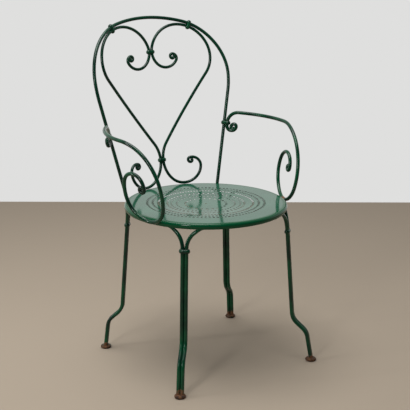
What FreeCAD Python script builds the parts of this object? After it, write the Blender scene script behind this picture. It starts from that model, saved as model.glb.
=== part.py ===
"""Garden armchair of bent round bar with a pressed, perforated round seat.

Frame: +Z up, floor at z = 0, the sitter looks along -Y and sits at x = 0, the sitter's left is +X.
Lengths are millimetres and angles are degrees.
"""
import FreeCAD, Part
import math
import os

import Sketcher

from FreeCAD import Placement, Rotation, Vector

SIZES = (
    ("seat_height", 438.0, "floor to the top of the rolled edge"),
    ("seat_radius", 220.0, "outside of the rolled edge"),
    ("seat_dish", 5.0, "depth of the middle below the edge"),
    ("dish_floor", 120.0, "radius of the level middle of the dish"),
    ("sheet_thickness", 1.2, "pressed steel sheet"),
    ("ring_sides", 8, "flats around the seat's ring, its rolled edge and the collars"),
    ("rod_sides", 6, "flats around each bent bar, which stand for a round section"),
    ("ring_bar", 12.0, "round bar inside the rolled edge, diameter"),
    ("fit_gap", 0.2, "clearance between pieces that are seated together"),
    ("hoop_bar", 9.5, "back hoop, diameter"),
    ("heart_bar", 8.4, "heart rods, diameter"),
    ("arm_bar", 10.0, "arm rods, diameter"),
    ("leg_bar", 10.0, "leg rods, diameter"),
    ("back_rise", 471.7, "top of the rolled edge to the middle of the hoop's bar at its crown"),
    ("back_lean_angle", 10.9, "lean of the back from upright"),
    ("back_flare_ratio", 0.42, "growth of the back's plan radius for each mm of height"),
    ("hoop_overhang", 1.15, "how far the hoop at its widest stands outside the rolled edge"),
    ("crown_half_angle", 14.0, "hoop, half of the arc over the top"),
    ("shoulder_radius", 147.6, "hoop, corner between top and side"),
    ("shoulder_angle", 78.3, "hoop, turn of that corner"),
    ("side_radius", 262.0, "hoop, easing into the straight stile"),
    ("stile_slant_angle", 12.6, "straight stiles, slant towards the middle"),
    ("stile_bite", 1.2, "depth of the saddle where a stile lies on the rolled edge"),
    ("lobe_overlap", 2.31, "how far the circle of a lobe would pass its rod at the throat"),
    ("lobe_angle", 66.9, "where lobe and hoop meet, seen from the shoulder's centre"),
    ("waist_rise", 18.5, "lower heart collar above the middle of the lower scroll"),
    ("waist_radius", 80.0, "heart, bend above the lower collar"),
    ("throat_radius", 47.0, "upper scroll, past the lobe"),
    ("throat_after_angle", 50.0, "upper scroll, turn below the collar"),
    ("upper_scroll_radius", 38.0, "upper scroll, its bowl"),
    ("upper_scroll_angle", 100.0, "upper scroll, turn of its bowl"),
    ("upper_curl_radius", 12.0, "upper scroll, where it closes"),
    ("upper_curl_angle", 120.0, "upper scroll, turn where it closes"),
    ("lower_scroll_radius", 51.5, "lower scroll, its bowl"),
    ("lower_scroll_reach", 63.5, "lower scroll, middle of the bowl from the centre line"),
    ("lower_scroll_angle", 85.0, "lower scroll, where its bowl ends, past level"),
    ("lower_curl_radius", 22.0, "lower scroll, where it closes"),
    ("lower_curl_angle", 115.0, "lower scroll, turn where it closes"),
    ("heart_tip_radius", 6.5, "tight curl at the ends of the heart rods"),
    ("tip_angle", 165.0, "turn of the tight curls at the ends of hearts and arms"),
    ("arm_seat_angle", 17.6, "where the arm meets the seat, forward of the side"),
    ("arm_bite", 0.4, "depth of the saddle where an arm lies on the rolled edge"),
    ("arm_toe_angle", 16.8, "turn of the arm's loop from fore and aft"),
    ("arm_lean_angle", 13.5, "outward lean of the arm where it meets the seat"),
    ("arm_bow", 960.0, "radius that takes the lean out of the arm higher up"),
    ("arm_straight", 43.5, "arm, straight in plan behind its foot"),
    ("arm_collar_rise", 170.0, "top of the rolled edge to the arm collar"),
    ("arm_side_angle", -60.0, "where the arm lies beside the stile, in plan"),
    ("arm_foot_radius", 53.0, "arm loop, front lower bend"),
    ("arm_foot_angle", 80.6, "arm loop, turn of that bend"),
    ("arm_rise_angle", 1.7, "slope of the arm rest, up towards the back"),
    ("arm_back_radius", 31.0, "arm, bend down to the collar"),
    ("arm_scroll_drop", 6.0, "arm, straight between its collar and the scroll"),
    ("arm_scroll_radius", 16.0, "arm, scroll behind the collar"),
    ("arm_scroll_angle", 105.0, "arm, turn of that scroll"),
    ("arm_tuck_ratio", 0.17, "arm, how far its scroll follows the slant of the stile"),
    ("arm_curl_radius", 10.5, "arm, where that scroll closes"),
    ("arm_curl_angle", 90.0, "arm, turn where that scroll closes"),
    ("arm_loop_radius", 76.6, "arm loop, rear lower bend"),
    ("arm_loop_angle", 107.6, "arm loop, turn of that bend"),
    ("arm_loop_top", 34.0, "arm loop, bend at its top"),
    ("arm_loop_drop", 35.5, "arm loop, bend down to its end"),
    ("arm_drop_angle", 96.0, "arm loop, turn of that bend"),
    ("arm_tip_radius", 7.5, "tight curl at the ends of the arm rods"),
    ("collar_height", 12.0, "cast collars, along the bars"),
    ("collar_wall", 4.0, "cast collars, metal outside each bar"),
    ("collar_slope", 2.6, "cast collars, slope of both edges"),
    ("front_leg_angle", 42.4, "front leg collars, forward of the side"),
    ("front_foot_angle", 43.8, "front feet, forward of the side"),
    ("rear_leg_angle", 40.8, "rear leg collars, backward of the side"),
    ("rear_foot_angle", 40.8, "rear feet, backward of the side"),
    ("leg_collar_drop", 72.0, "top of the rolled edge down to the leg collars"),
    ("front_collar_out", 2.5, "front leg collars, outside the edge of the seat"),
    ("rear_collar_out", -3.0, "rear leg collars, outside the edge of the seat"),
    ("leg_splay", 19.0, "how far a leg moves out from collar to knee"),
    ("knee_height", 119.0, "floor to the knee"),
    ("knee_radius", 45.0, "bend at the knee"),
    ("shin_step", 40.5, "how far a leg moves out from knee to ankle"),
    ("ankle_height", 83.0, "floor to the ankle"),
    ("ankle_radius", 40.0, "bend at the ankle"),
    ("front_foot_out", 77.0, "front feet, outside the edge of the seat"),
    ("rear_foot_out", 66.5, "rear feet, outside the edge of the seat"),
    ("leg_spread_angle", 13.5, "where a leg rod ends under the ring, to each side of the leg"),
    ("leg_bite", 2.5, "depth of the saddle where a leg rod ends under the ring"),
    ("foot_diameter", 30.0, "foot disc"),
    ("foot_height", 9.0, "foot disc"),
    ("foot_slope", 3.0, "foot disc, slope of its upper edge"),
)

# Short step along a curve, for its direction in space
STEP = 0.01

doc = FreeCAD.newDocument("GardenArmchair")
sheet = doc.addObject("Spreadsheet::Sheet", "Sizes")
for row, (alias, value, note) in enumerate(SIZES, start=1):
    sheet.set("A%d" % row, note)
    sheet.set("B%d" % row, str(value))
    sheet.setAlias("B%d" % row, alias)
doc.recompute()


def size(alias):
    """Value of one driving dimension."""
    return float(sheet.get(alias))


def sin(angle):
    """Sine of an angle in degrees."""
    return math.sin(math.radians(angle))


def cos(angle):
    """Cosine of an angle in degrees."""
    return math.cos(math.radians(angle))


def tan(angle):
    """Tangent of an angle in degrees."""
    return math.tan(math.radians(angle))


BAR_FLAT = "(Sizes.ring_bar / 2 * cos(180 deg / Sizes.ring_sides))"
INNER = "(%s + Sizes.fit_gap)" % BAR_FLAT
OUTER = "(%s + Sizes.sheet_thickness)" % INNER
RING_RADIUS = "(Sizes.seat_radius - %s)" % OUTER
RING_HEIGHT = "(Sizes.seat_height - %s)" % OUTER

ring_flat = size("ring_bar") / 2 * cos(180 / size("ring_sides"))
roll_radius = ring_flat + size("fit_gap") + size("sheet_thickness")
ring_radius = size("seat_radius") - roll_radius
ring_height = size("seat_height") - roll_radius


# Flat curves of lines and arcs, walked from point to point

class Walk:
    """A flat curve that grows by straight runs and arcs, kept as points with headings."""

    longest_run = 250.0
    small_radius = 60.0
    widest_turn = 100.0
    widest_curl = 170.0

    def __init__(self, start, heading):
        self.point = start
        self.heading = heading
        self.stops = [(start, heading)]

    def run(self, length):
        """Go straight on."""
        pieces = max(1, math.ceil(length / self.longest_run))
        x, y = self.point
        for piece in range(1, pieces + 1):
            reach = length * piece / pieces
            stop = (x + reach * cos(self.heading), y + reach * sin(self.heading))
            self.stops.append((stop, self.heading))
        self.point = self.stops[-1][0]
        return self

    def bend(self, radius, turn):
        """Follow an arc; a positive turn goes to the left."""
        widest = self.widest_curl if radius < self.small_radius else self.widest_turn
        pieces = max(1, math.ceil(abs(turn) / widest))
        side = math.copysign(1, turn)
        x, y = self.point
        middle_x = x - side * radius * sin(self.heading)
        middle_y = y + side * radius * cos(self.heading)
        first = self.heading
        for piece in range(1, pieces + 1):
            self.heading = first + turn * piece / pieces
            stop_x = middle_x + side * radius * sin(self.heading)
            stop_y = middle_y - side * radius * cos(self.heading)
            self.stops.append(((stop_x, stop_y), self.heading))
        self.point = self.stops[-1][0]
        return self


# Bars bent in space: tangent arcs through points with directions

def arc_from(start, direction, end):
    """The arc that leaves start along direction and reaches end, or a line where it is straight."""
    chord = end - start
    length = chord.Length
    along = chord.normalize()
    aside = direction - along * direction.dot(along)
    if aside.Length < 1e-4:
        return Part.LineSegment(start, end).toShape()
    angle = math.atan2(aside.Length, direction.dot(along))
    crest = (start + end) * 0.5 + aside.normalize() * (length / 2 * math.tan(angle / 2))
    return Part.Arc(start, crest, end).toShape()


def arc_pair(start, direction, end, arrival):
    """Two arcs, tangent to each other, between two points with given directions."""
    chord = end - start
    both = direction + arrival
    curl = 2 * (1 - direction.dot(arrival))
    ahead = chord.dot(both)
    if curl < 1e-9:
        reach = chord.dot(chord) / (2 * ahead)
    else:
        reach = (math.sqrt(ahead ** 2 + curl * chord.dot(chord)) - ahead) / curl
    middle = (start + end + (direction - arrival) * reach) * 0.5
    onward = (middle - start - direction * reach).normalize()
    return [arc_from(start, direction, middle), arc_from(middle, onward, end)]


def bent_wire(stops):
    """A smooth wire of arcs through points, each with its unit direction."""
    edges = []
    for (start, direction), (end, arrival) in zip(stops, stops[1:]):
        if direction.getAngle(arrival) < 1e-4 and direction.getAngle(end - start) < 1e-4:
            edges.append(Part.LineSegment(start, end).toShape())
        else:
            edges += arc_pair(start, direction, end, arrival)
    return Part.Wire(edges)


def mirrored(stops):
    """The same bar on the other side of the chair."""
    return [(Vector(-p.x, p.y, p.z), Vector(-d.x, d.y, d.z)) for p, d in stops]


def spine(name, stops):
    """The centre line of a bar as an object of its own."""
    line = doc.addObject("Part::Feature", name + "_line")
    line.Shape = bent_wire(stops)
    return line


def bar(name, line, stops, diameter, extra="0"):
    """A bar along a centre line; its diameter is bound to a cell of the sheet."""
    start, direction = stops[0]
    section = doc.addObject("Part::RegularPolygon", name + "_section")
    section.setExpression("Polygon", "Sizes.rod_sides")
    section.setExpression("Circumradius", "Sizes.%s / 2 + %s" % (diameter, extra))
    section.Placement = Placement(start, Rotation(Vector(0, 0, 1), direction))
    swept = doc.addObject("Part::Sweep", name)
    swept.Sections = [section]
    swept.Spine = (line, [])
    swept.Solid = True
    swept.Frenet = False
    return swept


def cut(name, base, tool):
    """What is left of base outside tool."""
    result = doc.addObject("Part::Cut", name)
    result.Base = base
    result.Tool = tool
    return result


def fuse(name, pieces):
    """Several shapes as one."""
    result = doc.addObject("Part::MultiFuse", name)
    result.Shapes = pieces
    return result


def origin_feature(body, role):
    """A plane or axis of a body's own origin."""
    return next(f for f in body.Origin.OriginFeatures if f.Role == role)


def sketch_on(body, name, role):
    """A sketch on one of the body's origin planes."""
    sketch = body.newObject("Sketcher::SketchObject", name)
    sketch.AttachmentSupport = [(origin_feature(body, role), "")]
    sketch.MapMode = "FlatFace"
    return sketch


def bind(sketch, constraint, alias, expression):
    """Add a named dimension to a sketch and tie it to the sheet."""
    index = sketch.addConstraint(constraint)
    sketch.renameConstraint(index, alias)
    sketch.setExpression("Constraints." + alias, expression)


def outline(sketch, corners):
    """A closed outline of straight lines; each corner is a place across and a place up, as expressions."""
    places = [tuple(float(sketch.evalExpression(part)) for part in corner) for corner in corners]
    for place, following in zip(places, places[1:] + places[:1]):
        sketch.addGeometry(Part.LineSegment(Vector(*place, 0), Vector(*following, 0)), False)
    for index, (place, corner) in enumerate(zip(places, corners)):
        before = (index - 1) % len(corners)
        sketch.addConstraint(Sketcher.Constraint("Coincident", before, 2, index, 1))
        if corner[0] == "0":
            sketch.addConstraint(Sketcher.Constraint("PointOnObject", index, 1, -2))
        else:
            across = Sketcher.Constraint("DistanceX", -1, 1, index, 1, place[0])
            bind(sketch, across, "across_%d" % index, corner[0])
        if corner[1] == "0":
            sketch.addConstraint(Sketcher.Constraint("PointOnObject", index, 1, -1))
        else:
            up = Sketcher.Constraint("DistanceY", -1, 1, index, 1, place[1])
            bind(sketch, up, "up_%d" % index, corner[1])


def turned(name, corners):
    """A body turned about the upright axis from an outline of reaches and heights."""
    body = doc.addObject("PartDesign::Body", name)
    sketch = sketch_on(body, name + "_profile", "XZ_Plane")
    outline(sketch, corners)
    revolution = body.newObject("PartDesign::Revolution", name + "_turned")
    revolution.Profile = sketch
    revolution.ReferenceAxis = (sketch, ["V_Axis"])
    revolution.Angle = 360
    body.Tip = revolution
    return body


def chamfered_pad(name, corners, height, slope, both_ends):
    """A body with a straight-sided outline, padded upwards or both ways, its end edges sloped."""
    body = doc.addObject("PartDesign::Body", name)
    sketch = sketch_on(body, name + "_outline", "XY_Plane")
    outline(sketch, corners)
    pad = body.newObject("PartDesign::Pad", name + "_pad")
    pad.Profile = sketch
    pad.SideType = "Symmetric" if both_ends else "One side"
    pad.setExpression("Length", height)
    doc.recompute()
    rims = []
    for index, edge in enumerate(pad.Shape.Edges, 1):
        level = abs(edge.tangentAt(edge.FirstParameter).z) < 0.5
        if level and (both_ends or edge.CenterOfMass.z > 0):
            rims.append("Edge%d" % index)
    chamfer = body.newObject("PartDesign::Chamfer", name + "_chamfer")
    chamfer.Base = (pad, rims)
    chamfer.setExpression("Size", slope)
    body.Tip = chamfer
    return body


# The seat: a steel ring, and a pressed sheet whose edge is rolled over it

half_flat = 180 / size("ring_sides")


def on_roll(radius, angle):
    """Corner of the faceted roll: radius is an expression for the distance of its flats."""
    reach = "%s + %s / cos(%s deg) * cos(%s deg)" % (RING_RADIUS, radius, half_flat, angle)
    height = "%s + %s / cos(%s deg) * sin(%s deg)" % (RING_HEIGHT, radius, half_flat, angle)
    return reach, height


def rolled(name, radius):
    """A ring on the seat's bar circle with the bar's number of flats."""
    angles = [half_flat * (2 * index + 1) for index in range(int(size("ring_sides")))]
    return turned(name, [on_roll(radius, angle) for angle in angles])


def lip(radius):
    """Where the rolled edge stops, in the middle of its lower outer flat."""
    reach = "%s + %s * cos(%s deg)" % (RING_RADIUS, radius, 2 * half_flat)
    height = "%s - %s * sin(%s deg)" % (RING_HEIGHT, radius, 2 * half_flat)
    return reach, height


seat_ring = rolled("seat_ring", BAR_FLAT)
leg_cope = rolled("leg_cope", INNER)
edge_cope = rolled("edge_cope", "(%s + Sizes.fit_gap)" % OUTER)
over = [on_roll(OUTER, 90 + half_flat - 2 * half_flat * step) for step in range(4)]
under = [on_roll(INNER, 90 + half_flat - 2 * half_flat * step) for step in range(4)]
floor_top = ("Sizes.dish_floor", "%s + %s - Sizes.seat_dish" % (RING_HEIGHT, OUTER))
floor_under = ("Sizes.dish_floor", "%s + %s - Sizes.seat_dish" % (RING_HEIGHT, INNER))
middle = [("0", floor_under[1]), ("0", floor_top[1])]
upper_side = middle + [floor_top] + over
lower_side = [lip(INNER)] + under[::-1] + [floor_under]
seat_pan = turned("seat_pan", upper_side + [lip(OUTER)] + lower_side)


# The back: flat curves laid on a surface that follows the ring below and flattens above

crown_half = size("crown_half_angle")
shoulder_end = -crown_half - size("shoulder_angle")
stile_heading = -90 - size("stile_slant_angle")
shoulder_x = size("seat_radius") + size("hoop_overhang") - size("hoop_bar") / 2 - size("shoulder_radius")
hoop_walk = Walk((0, size("seat_height") + size("back_rise")), 0)
hoop_walk.bend(size("shoulder_radius") + shoulder_x / sin(crown_half), -crown_half)
shoulder_z = hoop_walk.point[1] - size("shoulder_radius") * cos(crown_half)
hoop_walk.bend(size("shoulder_radius"), -size("shoulder_angle"))
hoop_walk.bend(size("side_radius"), stile_heading - shoulder_end)
stile_top = hoop_walk.point
stile_end = ring_height - roll_radius
hoop_walk.run((stile_top[1] - stile_end) / cos(size("stile_slant_angle")))

# The stiles lie against the outside of the rolled edge, the middle of the back stands over the ring
stile_base_x = stile_top[0] - (stile_top[1] - ring_height) * tan(size("stile_slant_angle"))
stile_base_reach = size("seat_radius") + size("hoop_bar") / 2 - size("stile_bite")
stile_base_y = math.sqrt(stile_base_reach ** 2 - stile_base_x ** 2)
base_rise = ring_height - size("seat_height")
base_bow = ring_radius + tan(size("back_lean_angle")) * base_rise - stile_base_y
base_plan = (stile_base_x ** 2 + base_bow ** 2) / (2 * base_bow)


def back_depth(x, z):
    """How far back the middle of a bar lies at a place seen from the front."""
    rise = z - size("seat_height")
    plan_radius = base_plan + size("back_flare_ratio") * (rise - base_rise)
    middle_depth = ring_radius + tan(size("back_lean_angle")) * rise
    return middle_depth - plan_radius + math.sqrt(plan_radius ** 2 - x ** 2)


def on_back(walk):
    """Points and directions in space of a curve drawn on the front view of the back."""
    stops = []
    for (x, z), heading in walk.stops:
        ahead_x = x + STEP * cos(heading)
        ahead_z = z + STEP * sin(heading)
        behind_x = x - STEP * cos(heading)
        behind_z = z - STEP * sin(heading)
        ahead = Vector(ahead_x, back_depth(ahead_x, ahead_z), ahead_z)
        behind = Vector(behind_x, back_depth(behind_x, behind_z), behind_z)
        stops.append((Vector(x, back_depth(x, z), z), (ahead - behind).normalize()))
    return stops


def backwards(stops):
    """The same bar walked from its other end."""
    return [(point, direction * -1) for point, direction in reversed(stops)]


left_half = on_back(hoop_walk)
hoop_stops = backwards(mirrored(left_half)) + left_half[1:]
hoop_line = spine("back_hoop", hoop_stops)
back_hoop = cut("back_hoop", bar("hoop_bar", hoop_line, hoop_stops, "hoop_bar"), edge_cope)

# The heart: its lobe lies against the hoop's shoulder, and its bars meet at two collars
bowl_z = size("seat_height") + size("heart_bar") / 2 + size("lower_scroll_radius")
waist_height = bowl_z + size("waist_rise")
side_by_side = (size("hoop_bar") + size("heart_bar")) / 2 + size("fit_gap")
heart_x = size("heart_bar") / 2 + size("fit_gap") / 2
lobe_room = shoulder_x + (size("shoulder_radius") - side_by_side) * cos(size("lobe_angle"))
lobe_radius = (lobe_room - heart_x + size("lobe_overlap")) / (1 + cos(size("lobe_angle")))
lobe_reach = size("shoulder_radius") - side_by_side - lobe_radius
lobe_x = shoulder_x + lobe_reach * cos(size("lobe_angle"))
lobe_z = shoulder_z + lobe_reach * sin(size("lobe_angle"))
waist_x = heart_x + size("waist_radius")
rise_x = lobe_x - waist_x
rise_z = lobe_z - waist_height
apart = math.hypot(rise_x, rise_z)
swing = size("waist_radius") + lobe_radius
diagonal = math.sqrt(apart ** 2 - swing ** 2)
diagonal_heading = math.degrees(math.atan2(rise_z, rise_x) - math.atan2(swing, diagonal))
throat_gap = lobe_radius - size("throat_radius")
throat_angle = math.degrees(math.acos((heart_x + size("throat_radius") - lobe_x) / throat_gap))
throat_z = lobe_z + throat_gap * sin(throat_angle)

upper_walk = Walk((heart_x, waist_height), 90)
upper_walk.bend(size("waist_radius"), diagonal_heading - 90)
upper_walk.run(diagonal)
upper_walk.bend(lobe_radius, throat_angle + 90 - diagonal_heading)
upper_walk.bend(size("throat_radius"), 180 - throat_angle + size("throat_after_angle"))
upper_walk.bend(size("upper_scroll_radius"), size("upper_scroll_angle"))
upper_walk.bend(size("upper_curl_radius"), size("upper_curl_angle"))
upper_walk.bend(size("heart_tip_radius"), size("tip_angle"))

bowl_dx = size("lower_scroll_reach") - heart_x
bowl_dz = size("waist_rise")
neck_radius = (bowl_dx ** 2 + bowl_dz ** 2 - size("lower_scroll_radius") ** 2)
neck_radius = neck_radius / (2 * (bowl_dx - size("lower_scroll_radius")))
neck_turn = math.degrees(math.atan2(bowl_dz, neck_radius - bowl_dx))

lower_walk = Walk((heart_x, waist_height), -90)
lower_walk.bend(neck_radius, neck_turn)
lower_walk.bend(size("lower_scroll_radius"), 90 + size("lower_scroll_angle") - neck_turn)
lower_walk.bend(size("lower_curl_radius"), size("lower_curl_angle"))
lower_walk.bend(size("heart_tip_radius"), size("tip_angle"))

heart_stops = backwards(on_back(lower_walk)) + on_back(upper_walk)[1:]
heart_line = spine("heart_rod_left", heart_stops)
left_heart = cut("heart_rod_left", bar("heart_bar", heart_line, heart_stops, "heart_bar"), edge_cope)


def mirror(name, source):
    """The same piece on the sitter's right."""
    other = doc.addObject("Part::Mirroring", name)
    other.Source = source
    other.Normal = Vector(1, 0, 0)
    return other


right_heart = mirror("heart_rod_right", left_heart)

# The arms: a flat curve in an upright sheet that leans out and turns in towards the stile
def arm_lean(height):
    """How far the arm leans out at a height."""
    rise = height - ring_height
    return rise * tan(size("arm_lean_angle")) - rise ** 2 / (2 * size("arm_bow"))


arm_collar_height = size("seat_height") + size("arm_collar_rise")
arm_radius = size("arm_bar") / 2
foot_reach = size("seat_radius") + arm_radius - size("arm_bite")
foot_x = foot_reach * cos(size("arm_seat_angle"))
foot_y = -foot_reach * sin(size("arm_seat_angle"))
along = Vector(sin(size("arm_toe_angle")), cos(size("arm_toe_angle")), 0)
outward = Vector(cos(size("arm_toe_angle")), -sin(size("arm_toe_angle")), 0)
turn_start = Vector(foot_x, foot_y, 0) + along * size("arm_straight")
stile_run = (stile_top[1] - arm_collar_height) * tan(size("stile_slant_angle"))
stile_x = stile_top[0] - stile_run
stile_point = Vector(stile_x, back_depth(stile_x, arm_collar_height), 0)
beside = (size("hoop_bar") + size("arm_bar")) / 2 + size("fit_gap")
beside_angle = size("arm_side_angle")
arm_end = stile_point + Vector(cos(beside_angle), sin(beside_angle), 0) * beside
arm_end = arm_end - outward * arm_lean(arm_collar_height)
to_end = arm_end - turn_start
plan_bend = to_end.dot(to_end) / (-2 * to_end.dot(outward))
plan_turn = 2 * math.asin(to_end.Length / (2 * plan_bend))
arm_length = size("arm_straight") + plan_bend * plan_turn


def arm_point(along_arm, height):
    """Place in space of a point of the arm's flat curve; its scroll is tucked in beside the stile."""
    lean = outward * arm_lean(height)
    below = max(0, arm_collar_height - height)
    if along_arm > arm_length - 2 * size("arm_back_radius"):
        lean.x -= size("arm_tuck_ratio") * below ** 2 / (below + size("arm_bar"))
    if along_arm < size("arm_straight"):
        place = turn_start + along * (along_arm - size("arm_straight"))
    else:
        turn = (along_arm - size("arm_straight")) / plan_bend
        inward = outward * (math.cos(turn) - 1)
        place = turn_start + (inward + along * math.sin(turn)) * plan_bend
    return place + lean + Vector(0, 0, height)


def on_arm(walk):
    """Points and directions in space of a curve drawn on the arm's sheet."""
    stops = []
    for (reach, height), heading in walk.stops:
        ahead = arm_point(reach + STEP * cos(heading), height + STEP * sin(heading))
        behind = arm_point(reach - STEP * cos(heading), height - STEP * sin(heading))
        stops.append((arm_point(reach, height), (ahead - behind).normalize()))
    return stops


front_walk = Walk((0, ring_height), 180)
front_walk.bend(size("arm_foot_radius"), -size("arm_foot_angle"))
steep = front_walk.heading
level = size("arm_rise_angle")
rest_x = arm_length - size("arm_back_radius") * (1 + sin(level)) - front_walk.point[0]
rest_z = arm_collar_height + size("arm_back_radius") * cos(level) - front_walk.point[1]
front_radius = (rest_z * cos(level) - rest_x * sin(level)) / (1 - cos(steep - level))
rest_length = (rest_x - front_radius * (sin(steep) - sin(level))) / cos(level)
front_walk.bend(front_radius, level - steep)
front_walk.run(rest_length)
front_walk.bend(size("arm_back_radius"), -90 - level)
front_walk.run(size("arm_scroll_drop"))
front_walk.bend(size("arm_scroll_radius"), -size("arm_scroll_angle"))
front_walk.bend(size("arm_curl_radius"), -size("arm_curl_angle"))
front_walk.bend(size("arm_tip_radius"), -size("tip_angle"))

loop_walk = Walk((0, ring_height), 0)
loop_walk.bend(size("arm_loop_radius"), size("arm_loop_angle"))
loop_walk.bend(size("arm_loop_top"), 180 - size("arm_loop_angle"))
loop_walk.bend(size("arm_loop_drop"), size("arm_drop_angle"))
loop_walk.bend(size("arm_tip_radius"), size("tip_angle"))

arm_stops = backwards(on_arm(loop_walk)) + on_arm(front_walk)[1:]
arm_line = spine("arm_rod_left", arm_stops)
left_arm = cut("arm_rod_left", bar("arm_bar", arm_line, arm_stops, "arm_bar"), edge_cope)
right_arm = mirror("arm_rod_right", left_arm)


# The legs: two bars side by side, straight runs with rounded corners, spread under the ring

def through(corners, radii):
    """A walk along straight runs between corners; the inner corners are rounded."""
    walk = Walk(corners[0], 0)
    trim = 0
    for index, radius in enumerate(radii + (0,)):
        (x, y), (next_x, next_y) = corners[index], corners[index + 1]
        heading = math.degrees(math.atan2(next_y - y, next_x - x))
        if index == 0:
            walk = Walk(corners[0], heading)
        length = math.hypot(next_x - x, next_y - y)
        if radius:
            after_x, after_y = corners[index + 2]
            turn = math.degrees(math.atan2(after_y - next_y, after_x - next_x)) - heading
            ahead = radius * tan(abs(turn) / 2)
            walk.run(length - trim - ahead)
            walk.bend(radius, turn)
            trim = ahead
        else:
            walk.run(length - trim)
    return walk


leg_half = size("leg_bar") / 2 + size("fit_gap") / 2
leg_tip_height = ring_height - ring_flat - size("leg_bar") / 2 + size("leg_bite")
leg_collar_height = size("seat_height") - size("leg_collar_drop")
shoulder_height = leg_collar_height + size("collar_height") / 2
foot_top = doc.addObject("Part::Cylinder", "foot_top")
foot_top.setExpression("Radius", "2 * Sizes.seat_radius")
foot_top.setExpression("Height", "2 * Sizes.foot_height + Sizes.fit_gap")
foot_top.setExpression(".Placement.Base.z", "-Sizes.foot_height")

rods = []
collars = []
feet = []


def around(angle, radius):
    """A point on the floor at an angle and a distance from the seat's axis."""
    return Vector(radius * cos(angle), radius * sin(angle), 0)


def leg(name, angle, collar_radius, foot_angle, foot_radius):
    """Both bars of one leg with its collar and its foot."""
    base = around(angle, collar_radius)
    outwards = around(foot_angle, foot_radius) - base
    foot_reach = outwards.Length
    outwards.normalize()
    sideways = Vector(-outwards.y, outwards.x, 0)
    knee_reach = size("leg_splay")
    ankle_reach = knee_reach + size("shin_step")
    drop = leg_collar_height - size("knee_height")
    corners = (
        (foot_reach, 0),
        (ankle_reach, size("ankle_height")),
        (knee_reach, size("knee_height")),
        (-knee_reach * (shoulder_height - leg_collar_height) / drop, shoulder_height),
    )
    walk = through(corners, (size("ankle_radius"), size("knee_radius")))
    tools = []
    for side, place in ((math.copysign(1, angle), "inner"), (-math.copysign(1, angle), "outer")):
        offset = base + sideways * side * leg_half
        stops = []
        for (reach, height), heading in walk.stops:
            direction = outwards * cos(heading) + Vector(0, 0, sin(heading))
            stops.append((outwards * reach + offset + Vector(0, 0, height), direction))
        tip_angle = angle + side * size("leg_spread_angle")
        tip = around(tip_angle, ring_radius) + Vector(0, 0, leg_tip_height)
        stops.append((tip, around(tip_angle + 90, side)))
        label = "%s_leg_rod_%s" % (name, place)
        line = spine(label, stops)
        landed = cut(label + "_landed", bar(label + "_bar", line, stops, "leg_bar"), foot_top)
        rods.append(cut(label, landed, leg_cope))
        tools.append(bar(label + "_tool", line, stops, "leg_bar", "Sizes.fit_gap"))
    middle = base + Vector(0, 0, leg_collar_height)
    lean = outwards * cos(walk.heading) + Vector(0, 0, sin(walk.heading))
    collars.append(collar(name + "_leg_collar", middle, lean, sideways, ("leg_bar", "leg_bar"), tools))
    landing = foot_reach + (ankle_reach - foot_reach) * size("foot_height") / size("ankle_height")
    feet.append(foot(name + "_foot", base + outwards * landing))


def corner_at(centre, radius, angle):
    """Corner of a faceted round: its middle on the cross axis, and its radius over the flats."""
    reach = "%s / cos(%s deg)" % (radius, half_flat)
    return "%s + %s * cos(%s deg)" % (centre, reach, angle), "%s * sin(%s deg)" % (reach, angle)


def collar(name, middle, axis, across, bars, tools):
    """A cast band with sloped edges around two bars that lie side by side."""
    half = "((Sizes.%s + Sizes.%s) / 4 + Sizes.fit_gap / 2)" % bars
    wall = "(Sizes.%s / 2 + Sizes.collar_wall)"
    corners = []
    for index in range(int(size("ring_sides"))):
        angle = half_flat * (2 * index + 1) - 90
        right = cos(angle) > 0
        centre = half if right else "-" + half
        corners.append(corner_at(centre, wall % bars[1 if right else 0], angle))
    body = chamfered_pad(name + "_band", corners, "Sizes.collar_height", "Sizes.collar_slope", True)
    z_axis = axis.normalize()
    x_axis = (across - z_axis * across.dot(z_axis)).normalize()
    body.Placement = Placement(middle, Rotation(x_axis, Vector(0, 0, 0), z_axis, "ZXY"))
    return cut(name, body, fuse(name + "_passage", tools))


def foot(name, place):
    """A low foot with flats that stand for a round edge, sloped up to a flat top."""
    sides = 2 * int(size("ring_sides"))
    reach = "Sizes.foot_diameter / 2"
    corners = []
    for index in range(sides):
        angle = half_flat * index
        corners.append(("%s * cos(%s deg)" % (reach, angle), "%s * sin(%s deg)" % (reach, angle)))
    whole = chamfered_pad(name, corners, "Sizes.foot_height", "Sizes.foot_slope", False)
    whole.Placement.Base = place
    return whole


for end, way in (("front", -1), ("rear", 1)):
    collar_place = (way * size(end + "_leg_angle"), size("seat_radius") + size(end + "_collar_out"))
    foot_place = (way * size(end + "_foot_angle"), size("seat_radius") + size(end + "_foot_out"))
    leg(end + "_left", *collar_place, *foot_place)


# The collars of the back and the arms

def tie(name, places, bars, tools):
    """A collar around two bars, given a point and a direction on each."""
    (first, first_way), (second, second_way) = places
    if first_way.dot(second_way) < 0:
        second_way = second_way * -1
    return collar(name, (first + second) * 0.5, first_way + second_way, second - first, bars, tools)


def place_on_back(x, z, heading):
    """Point and direction of a bar of the back."""
    return on_back(Walk((x, z), heading))[0]


hoop_tool = bar("hoop_tool", hoop_line, hoop_stops, "hoop_bar", "Sizes.fit_gap")
heart_tool = bar("heart_tool", heart_line, heart_stops, "heart_bar", "Sizes.fit_gap")
arm_tool = bar("arm_tool", arm_line, arm_stops, "arm_bar", "Sizes.fit_gap")
other_heart_tool = mirror("other_heart_tool", heart_tool)
hearts = [heart_tool, other_heart_tool]
for name, height in (("heart_top_collar", throat_z), ("heart_bottom_collar", waist_height)):
    pair = (place_on_back(-heart_x, height, 90), place_on_back(heart_x, height, 90))
    collars.append(tie(name, pair, ("heart_bar", "heart_bar"), hearts))

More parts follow.
